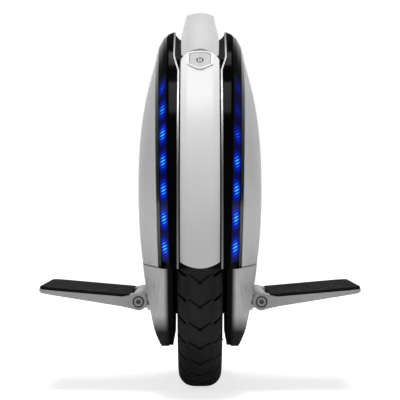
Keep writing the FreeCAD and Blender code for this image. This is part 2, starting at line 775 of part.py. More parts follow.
def foot_zone(gap):
    """Region below the arched line where the handle meets the spine cover."""
    arch = Part.makeCylinder(FOOT_ARCH_RADIUS - gap, 120.0, V(0, FOOT_ARCH_TOP - FOOT_ARCH_RADIUS, -60.0))
    rest = block(-60.0, 60.0, -300.0, FOOT_CORNER, -300.0, 60.0)
    return facing(BUTTON_ANGLE, arch.fuse(rest))


def spine_blank():
    """Spine cover before its button or socket hole is made."""
    low = RING_RADIUS - SPINE_DEPTH
    top = RING_RADIUS + SPINE_RISE
    half = SPINE_HALF_WIDTH
    bevel = half - SPINE_BEVEL_WIDTH
    side = [(half, low), (half, top - SPINE_BEVEL_DROP), (bevel, top - 0.25), (bevel - SPINE_EDGE_ROUND, top)]
    section = side + [(-x, radius) for x, radius in reversed(side)]
    spine = turned(section, RING_Z, SPINE_LOW_ANGLE, SPINE_HIGH_ANGLE)
    steps = 16
    ends = []
    for index in range(steps + 1):
        across = (2.0 * index / steps - 1.0) * 1.1
        ends.append((across * half, SPINE_END_Z + SPINE_END_DROP * across * across))
    under = prism_along_y(ends + [(1.1 * half, 50.0), (-1.1 * half, 50.0)], 300.0)
    return spine.cut(under).common(foot_zone(SEAM_GAP))


def shield(grow, z_low, z_high):
    """Flat shield outline drawn out along Z, with straight sides and a shallow pointed bottom."""
    half = BUTTON_HALF_WIDTH
    high = BUTTON_HALF_HEIGHT
    left_top = V(-half, high - 3.2, z_low)
    right_top = V(half, high - 3.2, z_low)
    right_low = V(half, -high * 0.5, z_low)
    left_low = V(-half, -high * 0.5, z_low)
    right_tip = V(2.6, -high + 0.6, z_low)
    left_tip = V(-2.6, -high + 0.6, z_low)
    edges = [Part.Arc(left_top, V(0, high, z_low), right_top).toShape(),
             Part.makeLine(right_top, right_low), Part.makeLine(right_low, right_tip),
             Part.Arc(right_tip, V(0, -high, z_low), left_tip).toShape(),
             Part.makeLine(left_tip, left_low), Part.makeLine(left_low, left_top)]
    wire = Part.Wire(edges)
    if grow > 0:
        wire = wire.makeOffset2D(grow)
    return upright(Part.Face(wire).extrude(V(0, 0, z_high - z_low)))


def make_front_spine():
    hole = facing(BUTTON_ANGLE, shield(BUTTON_GAP + BEZEL_WIDTH, -8.0, 8.0))
    return spine_blank().cut(hole)


def make_rear_spine():
    half = SOCKET_PLATE_HALF
    hole = facing(SOCKET_ANGLE, block(-half, half, -half, SOCKET_PLATE_TOP, -8.0, 8.0))
    return other_end(spine_blank().cut(hole))


def make_bezel():
    ring = shield(BUTTON_GAP + BEZEL_WIDTH, -2.0, BEZEL_PROUD)
    return facing(BUTTON_ANGLE, ring.cut(shield(BUTTON_GAP, -3.0, BEZEL_PROUD + 1.0)))


def make_button():
    """Button with the flange that keeps it under the rim, and the plunger that reaches the switch."""
    body = shield(0, -2.2, BUTTON_PROUD)
    top_edges = [edge for edge in body.Edges if edge.BoundBox.ZMin > BUTTON_PROUD - 0.01]
    body = body.makeFillet(0.6, top_edges)
    flange = shield(BUTTON_FLANGE, -3.4, -2.2)
    plunger = Part.makeCylinder(PLUNGER_RADIUS, 3.6, V(0, 0, -6.6))
    return facing(BUTTON_ANGLE, body.fuse([flange, plunger]))


def make_switch_board():
    board = block(-9.0, 9.0, -9.0, 9.0, SWITCH_BOARD_Z, SWITCH_BOARD_Z + 1.6)
    switch = block(-SWITCH_HALF, SWITCH_HALF, -SWITCH_HALF, SWITCH_HALF, SWITCH_BOARD_Z + 1.6, -5.6)
    hole = Part.makeCylinder(PLUNGER_RADIUS + 0.3, 4.0, V(0, 0, SWITCH_BOARD_Z + 1.6))
    return facing(BUTTON_ANGLE, board.fuse(switch).cut(hole))


def handle_width_face():
    """Front view of the handle: narrow at the grip, wider toward the feet."""
    top = HANDLE_TOP_Z
    grip = HANDLE_HALF_WIDTH
    foot = SPINE_HALF_WIDTH
    side = [(grip - 0.4, top + 5.0), (grip, top - 12.0), (grip + (foot - grip) * 0.42, top - 26.0),
            (grip + (foot - grip) * 0.9, top - 39.0), (foot, top - 52.0), (foot, top - 110.0)]
    right = [V(x, -200.0, z) for x, z in side]
    left = [V(-x, -200.0, z) for x, z in side]
    edges = [curve(right), Part.makeLine(right[-1], left[-1]), curve(left), Part.makeLine(left[0], right[0])]
    return Part.Face(Part.Wire(Part.__sortEdges__(edges)))


def handle_section():
    """Section of the handle at its top: crowned above, with sloping sides and bevels underneath."""
    def spot(x, drop):
        return V(x, 0, HANDLE_TOP_Z - drop)

    shares = (-1.0, -0.5, 0.0, 0.5, 1.0)
    crown = [spot(HANDLE_CROWN_X * share, HANDLE_CROWN * share * share) for share in shares]
    flat = HANDLE_HALF_WIDTH - HANDLE_BEVEL
    reach = SPINE_HALF_WIDTH + 1.0
    side = [(reach, HANDLE_SIDE_DROP), (reach, HANDLE_THICKNESS - reach + flat), (flat, HANDLE_THICKNESS)]
    corners = [crown[-1]] + [spot(x, drop) for x, drop in side]
    corners += [spot(-x, drop) for x, drop in reversed(side)] + [crown[0]]
    edges = [curve(crown)] + [Part.makeLine(a, b) for a, b in zip(corners, corners[1:])]
    return Part.Face(Part.Wire(edges))


def make_handle():
    arch = turned_face(handle_section(), HANDLE_TOP_Z - HANDLE_RADIUS)
    handle = arch.common(upright(handle_width_face().extrude(V(0, 400.0, 0))))
    embed = disc(RING_RADIUS - 13.0, RING_Z, -60.0, 60.0)
    zone = foot_zone(0)
    return carve(handle, [embed, zone, other_end(zone)])


def make_socket():
    plate = block(-SOCKET_PLATE_HALF, SOCKET_PLATE_HALF, -SOCKET_PLATE_HALF, SOCKET_PLATE_TOP,
                  -SPINE_DEPTH - SPINE_RISE, BUTTON_PROUD)
    body = Part.makeCylinder(SOCKET_RADIUS, SOCKET_LENGTH, V(0, 0, -SOCKET_LENGTH))
    bore = Part.makeCylinder(SOCKET_BORE, SOCKET_DEPTH + 5.0, V(0, 0, BUTTON_PROUD - SOCKET_DEPTH))
    rise = CAP_HINGE_RISE
    lugs = []
    for side in (-1, 1):
        lug = block(4.0, 6.5, CAP_HINGE_OFFSET - 2.0, CAP_HINGE_OFFSET + 2.0, BUTTON_PROUD - 0.5, rise + 2.0)
        lugs.append(lug if side > 0 else other_side(lug))
    pin = rod(CAP_PIN_RADIUS, -6.0, 6.0, CAP_HINGE_OFFSET, rise)
    socket = plate.fuse([body, pin] + lugs).cut(bore)
    return other_end(facing(SOCKET_ANGLE, socket))


def make_cap():
    low = BUTTON_PROUD + 0.2
    cover = Part.makeCylinder(CAP_RADIUS, CAP_HINGE_RISE - low, V(0, 0, low))
    arm = block(-3.8, 3.8, 6.0, CAP_HINGE_OFFSET, low, CAP_HINGE_RISE)
    barrel = rod(CAP_HINGE_RISE - low, -3.8, 3.8, CAP_HINGE_OFFSET, CAP_HINGE_RISE)
    tab = block(-3.0, 3.0, -CAP_RADIUS - 1.5, -CAP_RADIUS + 2.0, low, CAP_HINGE_RISE)
    bore = rod(CAP_PIN_RADIUS + PIN_CLEARANCE, -8.0, 8.0, CAP_HINGE_OFFSET, CAP_HINGE_RISE)
    return other_end(facing(SOCKET_ANGLE, cover.fuse([arm, barrel, tab]).cut(bore)))


# Side covers and hangers

def dome_x(distance):
    """How far out the side cover reaches at a distance from its middle."""
    if distance <= DOME_BULGE_RADIUS:
        return DOME_HALF_WIDTH - DOME_BULGE_DROP * (distance / DOME_BULGE_RADIUS) ** DOME_POWER
    return DOME_HALF_WIDTH - DOME_BULGE_DROP - DOME_EDGE_SLOPE * (distance - DOME_BULGE_RADIUS)


def dome_solid(inset):
    """Everything under the side cover's bulge, down to the inner wall."""
    reach = RING_RADIUS - 10.0
    steps = 12
    line = [V(dome_x(reach * k / steps) - inset, 0, DOME_Z + reach * k / steps) for k in range(steps + 1)]
    corners = [line[-1], V(WALL_OUTER_X, 0, DOME_Z + reach), V(WALL_OUTER_X, 0, DOME_Z), line[0]]
    edges = [curve(line)] + [Part.makeLine(a, b) for a, b in zip(corners, corners[1:])]
    return turned_face(Part.Face(Part.Wire(edges)), DOME_Z)


def cover_zone(inset):
    """Room inside the ring shell and above the seam, smaller by the inset."""
    zone = tilted(disc(RING_INNER_RADIUS - SEAM_GAP - inset, RING_Z, 0.0, 120.0))
    return zone.cut(below(SEAM_Z + SEAM_GAP + inset))


def cover_screw_places():
    places = []
    for y, z in COVER_SCREW_PLACES:
        places += [(y, z), (-y, z)]
    return places


def make_side_cover():
    outside = dome_solid(0.0).common(cover_zone(0.0))
    inside = dome_solid(SKIN).common(cover_zone(SKIN))
    bosses = [rod(5.0, WALL_OUTER_X, 90.0, y, z).common(inside) for y, z in cover_screw_places()]
    cover = outside.cut(inside).fuse(bosses)
    holes = [rod(COVER_SCREW_RADIUS, 30.0, COVER_SCREW_END_X, y, z) for y, z in cover_screw_places()]
    half = TONGUE_HALF_WIDTH + 1.0
    tongue_gap = block(0.0, TONGUE_OUTER_X + 1.0, -half, half, SEAM_Z - 5.0, SEAM_Z + 10.0)
    lead_gap = block(0.0, LEAD_X + 3.0, -LEAD_HALF_WIDTH - 1.0, LEAD_HALF_WIDTH + 1.0, 400.0, 440.0)
    return carve(cover, holes + [tongue_gap, lead_gap])


def make_cover_fixing(y, z):
    head = rod(3.6, WALL_INNER_X - 1.6, WALL_INNER_X, y, z)
    return head.fuse(rod(COVER_SCREW_RADIUS, WALL_INNER_X, COVER_SCREW_END_X, y, z))


def hanger_x(z):
    """Outer line of the hanger in front view."""
    share = (z - HANGER_LOW_Z) / (SEAM_Z - HANGER_LOW_Z)
    return HANGER_LOW_X + (HANGER_TOP_X - HANGER_LOW_X) * share ** 0.8


def hanger_outline(inset):
    """Hanger shape, or the smaller shape of its hollow."""
    low = HANGER_LOW_Z + inset
    high = SEAM_Z - 1.6 * inset
    body = disc(HANGER_RADIUS - inset, RING_Z, WALL_OUTER_X, 100.0)
    body = body.common(block(0.0, 100.0, -300.0, 300.0, low, high))
    steps = 7
    front = []
    for index in range(steps + 1):
        z = HANGER_LOW_Z + (SEAM_Z - HANGER_LOW_Z) * index / steps
        front.append(V(hanger_x(z) - inset, -300.0, z))
    corners = [front[-1], V(0, -300.0, SEAM_Z), V(0, -300.0, HANGER_LOW_Z), front[0]]
    edges = [curve(front)] + [Part.makeLine(a, b) for a, b in zip(corners, corners[1:])]
    body = body.common(upright(Part.Face(Part.Wire(edges)).extrude(V(0, 600.0, 0))))
    plan = []
    for index in range(-10, 11):
        y = 21.0 * index
        plan.append(V(dome_x(math.hypot(y, DOME_Z - SEAM_Z)) - inset, y, 0))
    corners = [plan[-1], V(0, plan[-1].y, 0), V(0, plan[0].y, 0), plan[0]]
    edges = [curve(plan)] + [Part.makeLine(a, b) for a, b in zip(corners, corners[1:])]
    return body.common(upright(Part.Face(Part.Wire(edges)).extrude(V(0, 0, 300.0))))


def hanger_screw_places():
    places = []
    for y, z in HANGER_SCREW_PLACES:
        places += [(y, z), (-y, z)]
    return places


def screw_holes(x_low):
    """Holes for the hanger screws and the side cover screws."""
    holes = [rod(HANGER_SCREW_RADIUS, x_low, HANGER_SCREW_SEAT_X, y, z) for y, z in hanger_screw_places()]
    return holes + [rod(COVER_SCREW_RADIUS, x_low, COVER_SCREW_END_X, y, z) for y, z in cover_screw_places()]


def pedal_low_z(x):
    run = PEDAL_TIP_X - PEDAL_TIP_BEVEL - x
    return PEDAL_TIP_Z - PEDAL_TIP_THICKNESS - run * math.tan(math.radians(PEDAL_LOW_SLOPE))


def pedal_top_z(x):
    run = PEDAL_TIP_X - PEDAL_TIP_BEVEL - x
    return PEDAL_TIP_Z - run * math.tan(math.radians(PEDAL_TOP_SLOPE))


def make_hanger():
    outside = hanger_outline(0.0)
    shell = outside.cut(hanger_outline(HANGER_WALL))
    bosses = [rod(8.0, WALL_OUTER_X, 90.0, y, z).common(outside) for y, z in hanger_screw_places()]
    tongue = block(TONGUE_INNER_X, TONGUE_OUTER_X, -TONGUE_HALF_WIDTH, TONGUE_HALF_WIDTH,
                   SEAM_Z - 8.0, TONGUE_TOP_Z)
    lug = rod_y(KNUCKLE_RADIUS, -LUG_HALF_LENGTH, LUG_HALF_LENGTH, PIN_X, PIN_Z)
    web = block(50.0, PIN_X, -LUG_HALF_LENGTH, LUG_HALF_LENGTH, PIN_Z - 10.0, PIN_Z + 7.0)
    arm_half = PEDAL_HALF_LENGTH - 1.0
    arm = block(50.0, PIN_X - KNUCKLE_RADIUS - 0.5, -arm_half, arm_half, PIN_Z - 10.0, PIN_Z + 10.0)
    reach = PEDAL_INNER_X + HEEL_REACH + 1.5
    seat_end = PIN_X + 9.0
    low = pedal_low_z(reach) - STOP_GAP
    stop = prism_along_y([(PIN_X - 5.0, PIN_Z - 9.5), (PIN_X + 5.0, PIN_Z - 11.0), (reach, low - 4.0),
                          (reach, low), (seat_end, pedal_low_z(seat_end) - STOP_GAP), (PIN_X, PIN_Z - 5.0)],
                         LUG_HALF_LENGTH - 6.0)
    hanger = shell.fuse(bosses + [tongue, lug, web, arm, stop])
    half = PEDAL_HALF_LENGTH
    cutters = [rod_y(PIN_RADIUS, -half, half, PIN_X, PIN_Z), rod_y(3.0, -half, half, 62.0, PIN_Z - 1.0)]
    cutters.append(axle_section(0.0, AXLE_HALF_LENGTH))
    cutters += screw_holes(30.0)
    cutters += [rod(5.2, HANGER_SCREW_SEAT_X, 90.0, y, z) for y, z in hanger_screw_places()]
    return carve(hanger, cutters)


def make_hanger_screw(y, z):
    seat = HANGER_SCREW_SEAT_X
    screw = rod(HANGER_SCREW_RADIUS, WALL_INNER_X, seat, y, z).fuse(rod(4.6, seat, seat + 4.0, y, z))
    return screw.cut(rod(2.0, seat + 2.0, seat + 4.0, y, z))


# Pedals

def rounded_plan(inset, corner):
    """Plan outline of a pedal with rounded outer corners."""
    half = PEDAL_HALF_LENGTH - inset
    blank = block(PIN_X - 20.0, PEDAL_TIP_X - inset, -half, half, 0.0, 300.0)
    edges = [edge for edge in blank.Edges
             if edge.BoundBox.ZLength > 200.0 and edge.BoundBox.XMin > PEDAL_TIP_X - inset - 1.0]
    return blank.makeFillet(corner, edges)


def pad_blank(rise):
    """Pad shape from its recess up to a rise above the pedal's top."""
    inner = PAD_INNER_X
    outer = PEDAL_TIP_X
    slab = prism_along_y([(inner, pedal_top_z(inner) - PAD_RECESS), (outer, pedal_top_z(outer) - PAD_RECESS),
                          (outer, pedal_top_z(outer) + rise), (inner, pedal_top_z(inner) + rise)], 150.0)
    return slab.common(rounded_plan(PAD_INSET, PEDAL_CORNER - PAD_INSET))


def make_pad():
    rise = PAD_THICKNESS - PAD_RECESS
    pad = pad_blank(rise)
    top_edges = [edge for edge in pad.Edges
                 if all(point.z > pedal_top_z(point.x) + rise - 0.1 for point in edge.discretize(5))]
    pad = pad.makeFillet(PAD_EDGE_ROUND, top_edges)
    start = PAD_INNER_X + 7.0
    end = PEDAL_TIP_X - 14.0
    floor = rise - PAD_GROOVE_DEPTH
    outline = [(start, pedal_top_z(start) + floor), (end, pedal_top_z(end) + floor),
               (end, pedal_top_z(end) + 9.0), (start, pedal_top_z(start) + 9.0)]
    grooves = []
    for y in PAD_GROOVE_PLACES:
        groove = prism_along_y(outline, PAD_GROOVE_HALF)
        groove.translate(V(0, y, 0))
        grooves.append(groove)
    return pad.cut(grooves)


def make_pedal():
    tip = PEDAL_TIP_X
    inner = PEDAL_INNER_X
    bevel = tip - PEDAL_TIP_BEVEL
    plate = prism_along_y([(inner, pedal_low_z(inner)), (bevel, pedal_low_z(bevel)),
                           (tip, PEDAL_TIP_Z - PEDAL_TIP_THICKNESS / 2), (tip, pedal_top_z(tip)),
                           (inner, pedal_top_z(inner))], PEDAL_HALF_LENGTH)
    heel_end = inner + HEEL_REACH
    heel = prism_along_y([(PIN_X, PIN_Z - KNUCKLE_RADIUS + 0.2), (heel_end, pedal_low_z(heel_end)),
                          (heel_end, pedal_top_z(heel_end)), (PIN_X, PIN_Z + KNUCKLE_RADIUS - 0.2)],
                         PEDAL_HALF_LENGTH)
    knuckle = rod_y(KNUCKLE_RADIUS, -PEDAL_HALF_LENGTH, PEDAL_HALF_LENGTH, PIN_X, PIN_Z)
    lug_gap = LUG_HALF_LENGTH + 0.6
    ends = heel.fuse(knuckle).cut(block(0.0, heel_end + 1.0, -lug_gap, lug_gap, 0.0, 300.0))
    pedal = plate.common(rounded_plan(0.0, PEDAL_CORNER)).fuse(ends)
    cutters = [pad_blank(10.0)]
    cutters.append(rod_y(PIN_RADIUS + PIN_CLEARANCE, -150.0, 150.0, PIN_X, PIN_Z))
    seat = PEDAL_HALF_LENGTH - PIN_HEAD_LENGTH
    head = rod_y(PIN_HEAD_RADIUS + SEAM_GAP, seat - SEAM_GAP, PEDAL_HALF_LENGTH + 5.0, PIN_X, PIN_Z)
    cutters += [head, other_end(head)]
    span = (PEDAL_HALF_LENGTH - 8.0) / 3.0
    roof = PAD_RECESS + 3.0
    for index in (-1, 0, 1):
        outline = [(inner + 17.0, 80.0), (tip - 17.0, 80.0), (tip - 17.0, pedal_top_z(tip - 17.0) - roof),
                   (inner + 17.0, pedal_top_z(inner + 17.0) - roof)]
        hollow = prism_along_y(outline, span - 1.5)
        hollow.translate(V(0, index * 2.0 * span, 0))
        cutters.append(hollow)
    return carve(pedal, cutters)


def make_hinge_pin():
    seat = PEDAL_HALF_LENGTH - PIN_HEAD_LENGTH
    pin = rod_y(PIN_RADIUS, -seat, seat, PIN_X, PIN_Z)
    for side in (-1, 1):
        head = rod_y(PIN_HEAD_RADIUS, seat, PEDAL_HALF_LENGTH + 0.6, PIN_X, PIN_Z)
        head = head.cut(rod_y(2.8, PEDAL_HALF_LENGTH - 1.6, PEDAL_HALF_LENGTH + 1.0, PIN_X, PIN_Z))
        pin = pin.fuse(head if side > 0 else other_end(head))
    return pin


# Battery (left side) and controller (right side), drawn on the right first

def cell_x():
    return WALL_OUTER_X + TRAY_THICKNESS + CELL_RADIUS


def make_cells():
    """Sixteen cells lying along Y: a middle column of six and two side columns of five."""
    cells = []
    column_step = CELL_LENGTH + 2.0
    for column, first, count in ((-1, 0, 5), (0, 1, 6), (1, 0, 5)):
        for row in range(first, first + count):
            y = column * column_step - CELL_LENGTH / 2
            cells.append(rod_y(CELL_RADIUS, y, y + CELL_LENGTH, cell_x(), CELL_FIRST_Z + row * CELL_PITCH))
    return cells


def make_tray():
    low = CELL_FIRST_Z - CELL_RADIUS - 2.0
    shoulder = CELL_FIRST_Z + 4 * CELL_PITCH + CELL_RADIUS + 2.0
    high = CELL_FIRST_Z + 6 * CELL_PITCH + CELL_RADIUS + 2.0
    x_low = WALL_OUTER_X
    x_high = WALL_OUTER_X + TRAY_THICKNESS
    half = 1.5 * CELL_LENGTH + 8.0
    wide = block(x_low, x_high, -half, half, low, shoulder)
    return wide.fuse(block(x_low, x_high, -36.0, 36.0, shoulder, high)).removeSplitter()


def make_battery_board():
    x = cell_x() + CELL_RADIUS
    return block(x, x + CIRCUIT_THICKNESS, -30.0, 30.0, CELL_FIRST_Z + 24.0, CELL_FIRST_Z + 84.0)


def board_x():
    """Inner face of the controller board, carried on the transistors."""
    return WALL_OUTER_X + SINK_THICKNESS + TRANSISTOR_THICKNESS


def make_sink():
    return block(WALL_OUTER_X, WALL_OUTER_X + SINK_THICKNESS, -100.0, 100.0, 250.0, 340.0)


def make_transistors():
    x = WALL_OUTER_X + SINK_THICKNESS
    return [block(x, x + TRANSISTOR_THICKNESS, y - 5.0, y + 5.0, 262.0, 277.0) for y in range(-80, 81, 16)]


def make_controller_board():
    return block(board_x(), board_x() + CIRCUIT_THICKNESS, -92.0, 92.0, 252.0, 334.0)


def make_capacitors():
    x = board_x() + CIRCUIT_THICKNESS
    return [rod(8.0, x, x + 18.0, y, 312.0) for y in (-66.0, -46.0, -26.0, 26.0, 46.0, 66.0)]


def make_sensor_board():
    x = board_x() + CIRCUIT_THICKNESS
    header = block(x, x + 5.0, -12.0, 12.0, 276.0, 280.0)
    return header.fuse(block(x + 5.0, x + 5.0 + CIRCUIT_THICKNESS, -15.0, 15.0, 274.0, 304.0))


def make_motor_cable():
    """From inside the motor through the axle bore, then up to the controller: runs joined by bends."""
    start = V(BEARING_X - BEARING_WIDTH / 2, 0, AXLE_Z)
    end = V(board_x() + CIRCUIT_THICKNESS, 0, AXLE_Z + CABLE_RISE)
    bend = CABLE_BEND
    far = CABLE_FAR_X
    low_corner = [V(far - bend, 0, start.z), V(far - bend * 0.293, 0, start.z + bend * 0.293),
                  V(far, 0, start.z + bend)]
    high_corner = [V(far, 0, end.z - bend), V(far - bend * 0.293, 0, end.z - bend * 0.293),
                   V(far - bend, 0, end.z)]
    path = Part.Wire([Part.makeLine(start, low_corner[0]), Part.Arc(*low_corner).toShape(),
                      Part.makeLine(low_corner[2], high_corner[0]), Part.Arc(*high_corner).toShape(),
                      Part.makeLine(high_corner[2], end)])
    ring = Part.Wire(Part.makeCircle(CABLE_RADIUS, start, V(1, 0, 0)))
    return upright(path.makePipeShell([ring], True, False))


def make_battery_lead():
    """Flat power lead from the battery over the wheel arch to the controller."""
    half = LEAD_HALF_WIDTH
    thick = LEAD_THICKNESS / 2
    inner = LEAD_X - thick
    outer = LEAD_X + thick
    across = block(-outer, outer, -half, half, LEAD_Z - thick, LEAD_Z + thick)
    to_board = block(inner, outer, -half, half, 326.0, LEAD_Z)
    top_cell = CELL_FIRST_Z + 6 * CELL_PITCH + CELL_RADIUS
    to_cells = block(-outer, -inner, -half, half, top_cell - LEAD_END_DROP, LEAD_Z)
    return across.fuse([to_board, to_cells]).removeSplitter()


def lead_slot():
    half = LEAD_HALF_WIDTH + SEAM_GAP
    thick = LEAD_THICKNESS / 2 + SEAM_GAP
    return block(-60.0, 60.0, -half, half, LEAD_Z - thick, LEAD_Z + thick)


# All nodes

def build_wheel():
    save("tyre", make_tyre())
    save("inner_tube", make_tube())
    save("rim", make_rim())
    save("rotor_ring", tube(AXLE_Z, ROTOR_INNER_RADIUS, ROTOR_OUTER_RADIUS, -16.0, 16.0))
    save("rotor_magnets", *make_magnets())
    cover = make_motor_cover()
    save("right_motor_cover", cover.cut(make_valve_notch()))
    save("left_motor_cover", other_side(cover))
    save("motor_cover_screws", *make_cover_screws())
    stem, cap = make_valve()
    save("valve_stem", stem)
    save("valve_cap", cap)
    outer = make_race(ball_circle() + 2.7, BEARING_OUTER_RADIUS)
    save("bearing_outer_races", outer, other_side(outer))
    save("bearing_seals", *make_bearing_seals())
    inner = make_race(AXLE_RADIUS, ball_circle() - 2.7)
    save("bearing_inner_races", inner, other_side(inner))
    balls = make_balls()
    save("bearing_balls", *(balls + [other_side(ball) for ball in balls]))
    save("stator_core", make_stator_core())
    save("stator_windings", *make_windings())
    save("stator_hub", make_stator_hub())
    save("axle", make_axle())
    nut = make_axle_nut()
    save("axle_nuts", nut, other_side(nut))


def build_shell():
    save("main_frame", make_frame())
    save("wheel_arch_liner", make_liner())
    save_pair("inner_wall", make_inner_wall())
    save_pair("ring_shell", make_ring_shell())
    save_ends("trims", make_trim())
    save_ends("light_lenses", make_lens())
    board = make_light_board()
    boards = [board, other_end(board)]
    save("light_boards", *(boards + [other_side(piece) for piece in boards]))
    chips = make_light_chips()
    chips += [other_end(chip) for chip in chips]
    save("light_chips", *(chips + [other_side(chip) for chip in chips]))
    save("front_spine_cover", make_front_spine())
    save("rear_spine_cover", make_rear_spine())
    save("handle", make_handle())
    save("button_bezel", make_bezel())
    save("power_button", make_button())
    save("switch_board", make_switch_board())
    save("charge_socket", make_socket())
    save("charge_cap", make_cap())
    save_pair("side_cover", make_side_cover())
    fixings = [make_cover_fixing(y, z) for y, z in cover_screw_places()]
    save("side_cover_screws", *(fixings + [other_side(screw) for screw in fixings]))


def build_sides():
    save_pair("hanger", make_hanger())
    screws = [make_hanger_screw(y, z) for y, z in hanger_screw_places()]
    save("hanger_screws", *(screws + [other_side(screw) for screw in screws]))
    save_pair("pedal", make_pedal())
    save_pair("grip_pad", make_pad())
    pin = make_hinge_pin()
    save("hinge_pins", pin, other_side(pin))
    save("battery_cells", *[other_side(cell) for cell in make_cells()])
    save("battery_tray", other_side(make_tray()))
    save("battery_board", other_side(make_battery_board()))
    save("heat_sink", make_sink())
    save("transistors", *make_transistors())
    save("controller_board", make_controller_board())
    save("capacitors", *make_capacitors())
    save("sensor_board", make_sensor_board())
    save("motor_cable", make_motor_cable())
    save("battery_lead", make_battery_lead())


os.makedirs("parts", exist_ok=True)
build_wheel()
build_shell()
build_sides()
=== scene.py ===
import json
import math

import bpy
from mathutils import Matrix, Vector


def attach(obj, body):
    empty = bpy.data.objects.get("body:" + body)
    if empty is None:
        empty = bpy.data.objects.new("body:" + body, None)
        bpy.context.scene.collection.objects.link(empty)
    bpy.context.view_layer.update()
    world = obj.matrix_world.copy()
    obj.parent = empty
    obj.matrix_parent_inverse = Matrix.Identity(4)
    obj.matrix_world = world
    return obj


# Electric unicycle seen straight from the front, in metres. X is sideways, the front is at minus Y,
# Z is up and the origin is where the tyre touches the ground.

# Camera
CAMERA_DISTANCE = 2.05
CAMERA_HEIGHT = 0.237
PHOTO_SIDE_PIXELS = 400
FOCAL_PIXELS = 1601.6
SENSOR_MM = 36.0

# Body sizes shared with the frame
RING_CENTRE_Z = 0.228
RING_LEAN = math.tan(math.radians(1.22))
BUTTON_ANGLE = math.radians(51.0)
BUTTON_FACE_RADIUS = 0.2263
PIN_X = 0.075
PIN_Z = 0.113
PIN_HEAD_RADIUS = 0.0069

# Lights in the ring: angles of the chips, the strip's place and the prisms' waves per metre
LIGHT_FIRST = math.radians(-12.2)
LIGHT_STEP = math.radians(8.9)
LIGHT_MIDDLE_X = 0.0416
LIGHT_HALF_WIDTH = 0.0046
PRISM_PITCH = 1650.0
PRISM_SLOPE = 900.0
CORE_SHARE = 0.65
GLOW_SHARE = 0.35

# Heights between which each light strip dims, and the brightness left above them
LEFT_DIM_FROM_Z = 0.33
LEFT_DIM_TO_Z = 0.385
LEFT_DIM_LEVEL = 0.35
RIGHT_DIM_FROM_Z = 0.275
RIGHT_DIM_TO_Z = 0.345
RIGHT_DIM_LEVEL = 0.25

# Colours of the lens, from unlit to the middle of a chip
LENS_UNLIT = (0.0, 0.0003, 0.008)
LENS_FAINT = (0.0, 0.002, 0.06)
LENS_DEEP = (0.0, 0.008, 0.3)
LENS_BLUE = (0.0, 0.03, 0.72)
LENS_BRIGHT = (0.006, 0.24, 0.95)
LENS_MIDDLE = (0.1, 0.75, 1.0)

# Hanger casting: where painted shade darkens its silver at the inner edge, the lower tip and the seam on top,
# and how much of the silver is left there
HANGER_INNER_SHADE_X = 0.0378
HANGER_INNER_SILVER_X = 0.0425
HANGER_TIP_SHADE_Z = 0.079
HANGER_TIP_SILVER_Z = 0.1
HANGER_SEAM_SILVER_Z = 0.1563
HANGER_SEAM_SHADOW_Z = 0.1571
HANGER_PAINTED_SHADE_LEVEL = 0.03
HANGER_SEAM_SHADOW_LEVEL = 0.05

# Tyre: the paler band along the middle of the tread ends between these distances from its middle
PALE_BAND_INNER_X = 0.009
PALE_BAND_OUTER_X = 0.014

# Power symbol on the button
SYMBOL_RADIUS = 0.0036
SYMBOL_UPRIGHT = 1.35
SYMBOL_HALF_WIDTH = 0.0009
SYMBOL_OPENING = math.radians(38.0)
SYMBOL_SUNK = -0.0002
SYMBOL_RAISED = 0.00015
STROKE_START = 0.15
STROKE_STEP = 0.12

# Room
ROOM_LIGHT = 0.12
FLOOR_HALF = 30.0
FLOOR_NEAR_WHITE = 0.72
LAMP_TARGET = (0.0, 0.0, 0.25)
WHITE = (1.0, 1.0, 1.0, 1.0)


# Shader helpers

def new_material(name):
    """Node material with its main shader."""
    material = bpy.data.materials.new(name)
    material.use_nodes = True
    tree = material.node_tree
    return material, tree, tree.nodes["Principled BSDF"]


def feed(tree, target, value):
    """Join a socket to a target socket, or write a constant on it."""
    if isinstance(value, bpy.types.NodeSocket):
        tree.links.new(value, target)
    else:
        target.default_value = value


def calculate(tree, operation, *values):
    """One step of arithmetic on sockets and constants."""
    step = tree.nodes.new("ShaderNodeMath")
    step.operation = operation
    for socket, value in zip(step.inputs, values):
        feed(tree, socket, value)
    return step.outputs[0]


def place(tree, stretch=(1.0, 1.0, 1.0)):
    """Coordinates fixed to the piece, stretched along an axis for a brushed look."""
    source = tree.nodes.new("ShaderNodeTexCoord")
    mapping = tree.nodes.new("ShaderNodeMapping")
    mapping.inputs["Scale"].default_value = stretch
    tree.links.new(source.outputs["Object"], mapping.inputs["Vector"])
    return mapping.outputs["Vector"]


def split(tree, where):
    """The X, Y and Z of a coordinate, by name."""
    parts = tree.nodes.new("ShaderNodeSeparateXYZ")
    tree.links.new(where, parts.inputs[0])
    return parts.outputs


def noise(tree, where, scale, detail=3.0):
    """Cloudy pattern."""
    texture = tree.nodes.new("ShaderNodeTexNoise")
    texture.inputs["Scale"].default_value = scale
    texture.inputs["Detail"].default_value = detail
    tree.links.new(where, texture.inputs["Vector"])
    return texture.outputs["Fac"]


def spread(tree, value, low, high, from_low=0.3, from_high=0.7):
    """Map a pattern onto a range."""
    mapped = tree.nodes.new("ShaderNodeMapRange")
    mapped.inputs["From Min"].default_value = from_low
    mapped.inputs["From Max"].default_value = from_high
    mapped.inputs["To Min"].default_value = low
    mapped.inputs["To Max"].default_value = high
    tree.links.new(value, mapped.inputs["Value"])
    return mapped.outputs["Result"]


def ramp(tree, value, stops):
    """Colours along a pattern, as (position, colour) stops."""
    colours = tree.nodes.new("ShaderNodeValToRGB")
    elements = colours.color_ramp.elements
    while len(elements) < len(stops):
        elements.new(0.5)
    for element, (position, colour) in zip(elements, stops):
        element.position = position
        element.color = (*colour, 1.0)
    tree.links.new(value, colours.inputs["Fac"])
    return colours.outputs["Color"]


def paint(tree, shader, value, stops):
    """Base colour from a pattern."""
    tree.links.new(ramp(tree, value, stops), shader.inputs["Base Color"])


